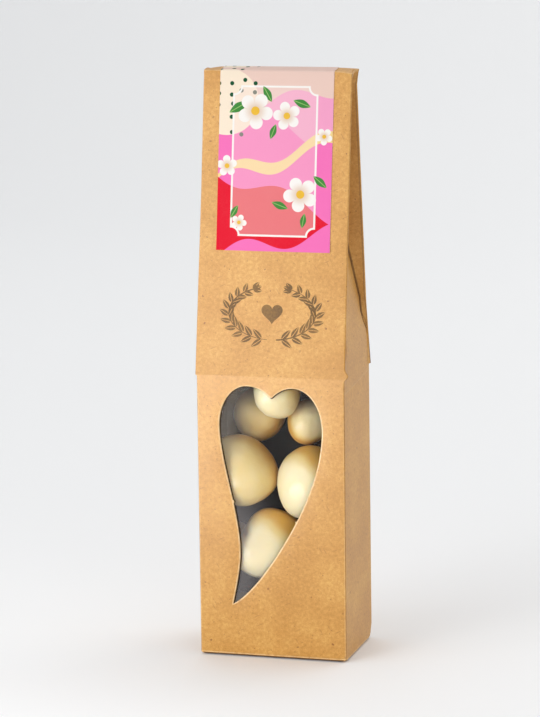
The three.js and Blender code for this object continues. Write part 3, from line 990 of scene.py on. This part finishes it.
# %% Group: rolling edge
rolling, given, wanted = new_group("rolling edge", {
    "Across": 0.0, "Along": 0.0, "Height": 0.0, "Tilt": 0.0, "Swell": 3.0, "Length": 30.0, "Shift": 0.0,
}, ["Mask"])
turn = times(given["Across"], reckon("DIVIDE", math.tau, given["Length"]), plus=given["Shift"])
wave = times(given["Across"], given["Tilt"], plus=times(reckon("SINE", turn), given["Swell"]))
wave = reckon("ADD", wave, given["Height"])
feed(wanted, {"Mask": ramp_mask(less(wave, given["Along"]), -0.08, 0.08)})

# %% Group: blossom
MOTIF = {"Across": 0.0, "Along": 0.0, "Middle Across": 0.0, "Middle Along": 0.0, "Size": 5.0, "Turn": 0.0}


def from_middle(given):
    """A place on the print as seen from a motif's middle, after the motif's turn."""
    across, along = (less(given[way], given["Middle " + way]) for way in ("Across", "Along"))
    both = node(across.id_data, "CombineXYZ", {"X": across, "Y": along}).outputs[0]
    feeds = {"Vector": both, "Angle": given["Turn"]}
    return node(across.id_data, "VectorRotate", feeds, rotation_type="Z_AXIS").outputs[0]


def length_of(vector):
    return node(vector.id_data, "VectorMath", {0: vector}, operation="LENGTH").outputs["Value"]


blossom, given, wanted = new_group("blossom", MOTIF, ["Petals", "Heart", "Shade"])
spot, size = from_middle(given), given["Size"]
x, y, _ = apart(spot)
away = length_of(spot)
petal = reckon("ABSOLUTE", reckon("COSINE", times(reckon("ARCTAN2", y, x), 2.5)))
rim = times(times(reckon("POWER", petal, 0.55), 0.52, plus=0.48), size)
seam = ramp_mask(petal, 0.3, 0.0)
fade = ramp_mask(reckon("DIVIDE", away, size), 0.75, 0.2)
feed(wanted, {"Petals": ramp_mask(less(rim, away), -0.06, 0.1),
              "Heart": ramp_mask(less(times(size, 0.24), away), -0.06, 0.1),
              "Shade": most(times(seam, 0.8), fade)})

# %% Group: leaf
leaf, given, wanted = new_group("leaf", MOTIF, ["Blade", "Vein"])
x, y, _ = apart(from_middle(given))
along_leaf = reckon("DIVIDE", x, given["Size"])
belly = less(1.0, reckon("POWER", reckon("ABSOLUTE", along_leaf), 1.7))
width = times(belly, times(given["Size"], 0.42))
off = reckon("ABSOLUTE", y)
feed(wanted, {"Blade": ramp_mask(less(width, off), -0.04, 0.1), "Vein": ramp_mask(off, 0.22, 0.08)})
print("motifs:", rolling.name, "/", blossom.name, "/", leaf.name)

# %% Label colours and motifs
LABEL_LONG = 144.8
BLUSH, PINK, HOT_PINK = paint(240, 208, 196), paint(248, 166, 204), paint(249, 118, 190)
RED, BUTTER, CREAM_WHITE = paint(232, 14, 46), paint(252, 222, 150), paint(252, 248, 244)
LEAF_GREEN, DEEP_GREEN = paint(66, 140, 62), paint(22, 84, 50)
HILLS = [  # colour, height, tilt, swell, wave length, shift
    (PINK, 58.0, 0.22, 3.4, 38.0, 0.6), (HOT_PINK, 49.0, -0.28, 4.2, 44.0, 2.2),
    (BUTTER, 37.5, 0.34, 3.0, 33.0, 4.4), (HOT_PINK, 33.5, 0.30, 3.4, 35.0, 4.6),
    (RED, 22.5, -0.36, 3.6, 41.0, 1.0), (HOT_PINK, 3.4, 0.2, 3.4, 36.0, 3.6),
]
DISC_MIDDLE, DISC, DISC_CLEAR = (-20.0, 58.0, 0.0), 13.0, 15.4
FRAME_MIDDLE, FRAME_HALF, FRAME_SCOOP, FRAME_LINE = (-0.35, 35.1), (16.85, 29.0), 3.2, 0.38
LEAVES = [  # middle across, middle along, half length, turn in degrees
    (-15.2, 56.0, 4.4, 150), (-3.6, 61.2, 3.6, 60), (10.4, 57.6, 3.8, 20), (-1.0, 46.6, 3.2, -70),
    (18.4, 27.4, 3.6, 40), (2.4, 18.0, 3.6, 200), (12.0, 12.2, 3.0, -80), (-16.0, 15.2, 3.0, 120),
]
BLOSSOMS = [  # middle across, middle along, size, turn in degrees
    (-8.4, 54.6, 7.2, 12), (4.4, 52.8, 5.6, 40), (10.6, 22.4, 6.9, 28), (-14.0, 11.0, 3.2, 5),
    (-19.4, 33.0, 4.2, 50), (19.6, 45.0, 3.4, 20),
]
print(len(HILLS), "hills,", len(LEAVES), "leaves and", len(BLOSSOMS), "blossoms")

# %% Label finish
label_finish, tree, shader = new_finish("label_print")
print_place = node(tree, "UVMap", uv_map="print").outputs[0]
across, along_strip, _ = apart(print_place)
along = less(LABEL_LONG / 2, reckon("ABSOLUTE", less(along_strip, LABEL_LONG / 2)))


def placed(group, values):
    """A group of the print, placed with a value for each of its inputs after Across and Along."""
    labels = [item.name for item in group.interface.items_tree if item.in_out == "INPUT"][2:]
    return place_group(group, {"Across": across, "Along": along, **dict(zip(labels, values))})


colour = BLUSH
for shade, *hill in HILLS:
    colour = blend_colours(placed(rolling, hill)["Mask"], colour, shade)

from_disc = node(tree, "VectorMath", {0: node(tree, "CombineXYZ", {"X": across, "Y": along}).outputs[0],
                                       1: DISC_MIDDLE}, operation="DISTANCE").outputs["Value"]
colour = blend_colours(ramp_mask(from_disc, DISC + 0.1, DISC - 0.1), colour, paint(253, 236, 214))
dots = node(tree, "TexVoronoi", {"Vector": print_place, "Scale": 0.2, "Randomness": 0.5},
            voronoi_dimensions="2D").outputs["Distance"]
dots = times(ramp_mask(dots, 0.18, 0.155), ramp_mask(from_disc, DISC_CLEAR + 0.1, DISC_CLEAR - 0.1))
colour = blend_colours(dots, colour, DEEP_GREEN)

past_side, past_end = (less(reckon("ABSOLUTE", less(way, middle)), half) for way, middle, half in zip(
    (across, along), FRAME_MIDDLE, FRAME_HALF))
corner = node(tree, "CombineXYZ", {"X": past_side, "Y": past_end}).outputs[0]
frame_edge = most(past_side, past_end, less(FRAME_SCOOP, length_of(corner)))
within = ramp_mask(frame_edge, 0.05, -0.05)
colour = blend_colours(times(within, 0.26), colour, paint(252, 226, 226))
ruled = ramp_mask(reckon("ABSOLUTE", frame_edge), FRAME_LINE + 0.06, FRAME_LINE - 0.06)
colour = blend_colours(ruled, colour, CREAM_WHITE)

for *spot, degrees in LEAVES:
    shape = placed(leaf, (*spot, math.radians(degrees)))
    green = blend_colours(shape["Vein"], LEAF_GREEN, paint(150, 196, 110))
    colour = blend_colours(shape["Blade"], colour, green)
for *spot, degrees in BLOSSOMS:
    shape = placed(blossom, (*spot, math.radians(degrees)))
    petals = blend_colours(shape["Shade"], CREAM_WHITE, paint(236, 214, 196))
    colour = blend_colours(shape["Petals"], colour, petals)
    colour = blend_colours(shape["Heart"], colour, paint(240, 190, 60))

pattern = place_group(fibres, {"Sheet": print_place, "Blotch Size": 0.5, "Specks": 0.0})
grain = times(ramp_mask(pattern["Tone"], 0.4, 0.8), 0.015)
rubbed = place_group(wear_and_highlight, {"Fold": fold_line(tree), "Sheet": print_place, "Strength": 0.5})["Mask"]
for pale in (grain, rubbed):
    colour = blend_colours(pale, colour, CREAM_WHITE)
smudged = place_group(smudges, {"Place": print_place, "Size": 9.0})["Mask"]
feed(shader, {
    "Base Color": blend_colours(1.0, colour, (0.8, 0.8, 0.8, 1.0), "MULTIPLY"),
    "Roughness": times(smudged, 0.12, plus=0.42),
    "Normal": bumped(pattern["Height"], 0.2, 0.00003), "Specular IOR Level": 0.08,
})
label_back, _, shader = new_finish("label_paper")
feed(shader, {"Base Color": paint(244, 240, 232)})
print("label material:", len(label_finish.node_tree.nodes), "nodes")

# %% [markdown]
# ## Over the ridge
# The strip's line is the carton's own side view from a third of the way up one slope to the same place on
# the other, moved out by a hair. It bends over the two folds with the same small curves as the board, and
# it is not quite pressed down everywhere.

# %% Label mesh
LABEL_WIDTH, LABEL_START, LABEL_LIFT, LABEL_THICK = 46.0, 49.2, 0.1, 0.14
front_run = np.array(FRONT_CORNERS[3]) - FRONT_CORNERS[2]
label_share = LABEL_START / np.linalg.norm(front_run)


def label_line():
    """Points over the ridge: place, direction out of the board, share of the slope, fold mark."""
    front, back = (
        [(p, s, fold) for p, fold, s in line if s >= label_share] for line in (front_line, back_line))
    ends = [(np.array(c[2]) + (np.array(c[3]) - c[2]) * label_share, label_share, 0.0)
            for c in (FRONT_CORNERS, BACK_CORNERS)]
    line = [ends[0], *front, (np.array(FRONT_CORNERS[4]), 1.0, 0.0), *back[::-1], ends[1]]
    line = [p for p in line if p[1] == 1.0 or p[1] < CEILING]
    leans = np.gradient(np.array([p[0] for p in line]), axis=0)
    return [(p, unit((-d[1], d[0])), s, f) for (p, s, f), d in zip(line, leans)]


label_points = label_line()
travelled = np.concatenate([[0], np.cumsum([np.linalg.norm(b[0] - a[0])
                                            for a, b in zip(label_points, label_points[1:])])])
label_skin = Skin()
label_columns = np.linspace(-LABEL_WIDTH / 2, LABEL_WIDTH / 2, 19)
rows = []
for (place, out, share, fold), far in zip(label_points, travelled):
    row = []
    for x in label_columns:
        loose = 0.12 * max(0.0, noise.noise(Vector((x * 0.09, far * 0.07, 4.2)))) * (share < 1)
        lip = 0.16 * math.exp(-min(far, travelled[-1] - far) / 2.5) * abs(x / 23.0) ** 3
        y, z = place + out * (LABEL_LIFT + loose + lip)
        proud = bulge(x, z, share) * math.copysign(1.0, place[0]) if share < 1 else 0.0
        row.append(label_skin.point(x, y + proud, z, 0.7 * fold))
    rows.append(row)
places = [[(x, far) for x in label_columns] for far in travelled]
for r in range(len(rows) - 1):
    for c in range(len(label_columns) - 1):
        label_skin.face(cell(rows, r, c, c + 1), cell(places, r, c, c + 1))
label_mesh = thickened(label_skin.mesh("printed_label", "print"), LABEL_THICK, 1, inner=1, rim=1)
soften(label_mesh)
label = add_piece("printed_label", label_mesh, [label_finish, label_back], "label_paper", "label")
print("label:", round(travelled[-1], 1), "mm long, made for", LABEL_LONG)

# %% [markdown]
# ## Ink on the board
# Between the label and the window the board carries a small print in bronze ink: here a leafy
# wreath round a heart. Ink this thick can be made as geometry, a hair above the board, which keeps its edges
# sharp at any distance. The fibres of the board still show through it.

# %% Bronze ink
INK_LIFT, INK_THICK = 0.02, 0.02
ink, tree, shader = new_finish("bronze_ink")
pattern = place_group(fibres, {"Sheet": sheet_place(tree), "Blotch Size": 0.6, "Specks": 0.3})
feed(shader, {
    "Base Color": blend_colours(ramp_mask(pattern["Tone"], 0.3, 0.75), paint(90, 60, 8), paint(122, 86, 26)),
    "Roughness": 0.5, "Metallic": 0.15,
})
slope_up = unit(front_run)
slope_out = np.array([-slope_up[1], slope_up[0]])
print_skin = Skin()


def on_slope(x, climb, lift):
    """A point on the front slope, so far sideways and so far up from the crease."""
    y, z = np.array(FRONT_CORNERS[2]) + slope_up * climb + slope_out * lift
    return x, y - bulge(x, z, climb / np.linalg.norm(front_run)), z


def ink_shape(outline):
    """A flat printed shape from points (x, climb), counter-clockwise."""
    corners = [print_skin.point(*on_slope(x, climb, INK_LIFT)) for x, climb in outline]
    print_skin.face(corners, [tuple(p) for p in outline])


def ink_leaf(foot, angle, long, wide):
    """An almond-shaped leaf in two halves, with a bare vein between them."""
    lean = np.array([math.cos(angle), math.sin(angle)])
    side = np.array([-lean[1], lean[0]])
    for way in (1, -1):
        inner = [foot + lean * long * t + side * way * 0.12 for t in (0.06, 0.9)]
        belly = [foot + lean * long * t + side * way * wide * math.sin(math.pi * t ** 0.8)
                 for t in (0.98, 0.85, 0.7, 0.5, 0.3, 0.14)]
        ink_shape((inner + belly)[::way])


def ink_stem(points, wide):
    """A tapering line through points."""
    points = np.array(points)
    leans = np.gradient(points, axis=0)
    for k in range(len(points) - 1):
        a, b = points[k], points[k + 1]
        na, nb = (np.array([-d[1], d[0]]) / np.linalg.norm(d) for d in leans[k:k + 2])
        wa, wb = (wide * (1 - 0.6 * j / len(points)) / 2 for j in (k, k + 1))
        ink_shape([a - na * wa, b - nb * wb, b + nb * wb, a + na * wa])


# %% Wreath and heart
WREATH_MIDDLE, WREATH_HALF = np.array([0.3, 25.0]), np.array([17.6, 10.4])
HEART_MIDDLE, HEART_SCALE = (0.3, 25.2), 0.27
LEAF_WIDE, LEAF_FORK, STEM_WIDE, STEM_STEPS = 1.05, 0.72, 0.55, 23
for way in (1, -1):
    turns = np.radians(np.linspace(-84, 70, STEM_STEPS))
    stem = [WREATH_MIDDLE + WREATH_HALF * (way * math.cos(a), math.sin(a)) for a in turns]
    ink_stem(stem[::way], STEM_WIDE)
    for k in range(1, STEM_STEPS, 2):
        lean = stem[k] - stem[k - 1]
        for fork in (LEAF_FORK, -LEAF_FORK) if k < 21 else (0.5, 0.0, -0.5):
            ink_leaf(stem[k], math.atan2(lean[1], lean[0]) + fork, 5.6 - 0.08 * k, LEAF_WIDE)
t = np.linspace(0, 2 * math.pi, 40, endpoint=False)
heart_x, heart_y = 16 * np.sin(t) ** 3, 13 * np.cos(t) - 5 * np.cos(2 * t) - 2 * np.cos(3 * t) - np.cos(4 * t)
ink_shape((np.stack([heart_x, heart_y], axis=1) * HEART_SCALE + HEART_MIDDLE)[::-1])
ink_mesh = thickened(print_skin.mesh("printed_wreath"), INK_THICK, 1)
wreath = add_piece("printed_wreath", ink_mesh, [ink], "kraft_board")
print("ink covers", [round(v / MM, 1) for v in wreath.dimensions], "mm")

# %% [markdown]
# ## The studio
# A sheet of white paper lies under the carton and sweeps up behind it in one curve, so no horizon
# shows. It is staging, not part of the object. Light comes mainly from a large soft box at the upper left
# in front and one overhead, with a pale room all round. Warmer boxes at the right and in front keep the
# right side from going dark, and the shadow stays faint. Two low lamps do one thing each: the first only
# brightens the foot of the front, and the second only puts a faint gloss on it.

# %% Stage and light
BACK_WALL, SWEEP_ROUND, SWEEP_TOP, REACH = 2.2, 1.0, 3.0, 4.0
paper, _, shader = new_finish("backdrop_paper")
feed(shader, {"Base Color": (0.885, 0.893, 0.903, 1.0), "Roughness": 0.9, "Specular IOR Level": 0.2})
side_view = [(-REACH, 0.0), (-1.0, 0.0), (0.0, 0.0), (BACK_WALL - SWEEP_ROUND, 0.0)]
side_view += [(BACK_WALL - SWEEP_ROUND + SWEEP_ROUND * math.sin(a), SWEEP_ROUND - SWEEP_ROUND * math.cos(a))
              for a in np.linspace(0.1, math.pi / 2, 14)]
side_view.append((BACK_WALL, SWEEP_TOP))
sweep_mesh = grid_mesh("backdrop", [[(x, y, z) for x in (-REACH, REACH)] for y, z in side_view])
sweep_mesh.shade_smooth()
sweep_mesh.materials.append(paper)
backdrop = into_scene("backdrop", sweep_mesh)

WHITE, WARM, WARMER = (1.0, 1.0, 1.0), (1.0, 0.965, 0.91), (1.0, 0.965, 0.9)
MIDDLE = (0.0, 0.0, 0.1)
LAMPS = [  # name, place, aim, size, watts, colour, in gloss, in matt light
    ("key_box", (-1.25, -1.35, 0.9), MIDDLE, (1.4, 1.4), 11.8, WHITE, True, True),
    ("top_box", (0.0, 0.7, 2.1), (0.0, 0.7, 0.0), (2.4, 2.4), 24.0, WHITE, True, True),
    ("side_box", (1.5, 1.2, 0.9), MIDDLE, (1.6, 1.6), 8.8, WARM, True, True),
    ("low_box", (-0.17, -0.43, 0.13), (0.0, 0.0, 0.08), (0.22, 0.16), 0.75, WHITE, False, True),
    ("front_box", (0.95, -1.5, 0.4), MIDDLE, (1.2, 1.0), 6.8, WARMER, False, True),
    ("low_glow", (-0.29, -0.47, 0.004), (-0.29, -0.47, 1.0), (0.3, 0.5), 12.0, WHITE, True, False),
]
for name, place, aim, size, watts, colour, in_gloss, in_matt in LAMPS:
    lamp = bpy.data.lights.new(name, "AREA")
    lamp.shape, lamp.size, lamp.size_y = "RECTANGLE", *size
    lamp.energy, lamp.color = watts, colour
    made = into_scene(name, lamp)
    made.location = place
    made.rotation_euler = (Vector(aim) - Vector(place)).to_track_quat("-Z", "Y").to_euler()
    made.visible_glossy, made.visible_diffuse = in_gloss, in_matt

room = bpy.data.worlds.new("pale_room")
room.use_nodes = True
feed(room.node_tree.nodes["Background"], {"Color": (0.985, 0.99, 1.0, 1.0), "Strength": 0.35})
bpy.context.scene.world = room
bpy.context.scene.view_settings.view_transform = "Standard"
print(len(LAMPS), "lamps of", round(sum(lamp[4] for lamp in LAMPS), 1), "watts in all")
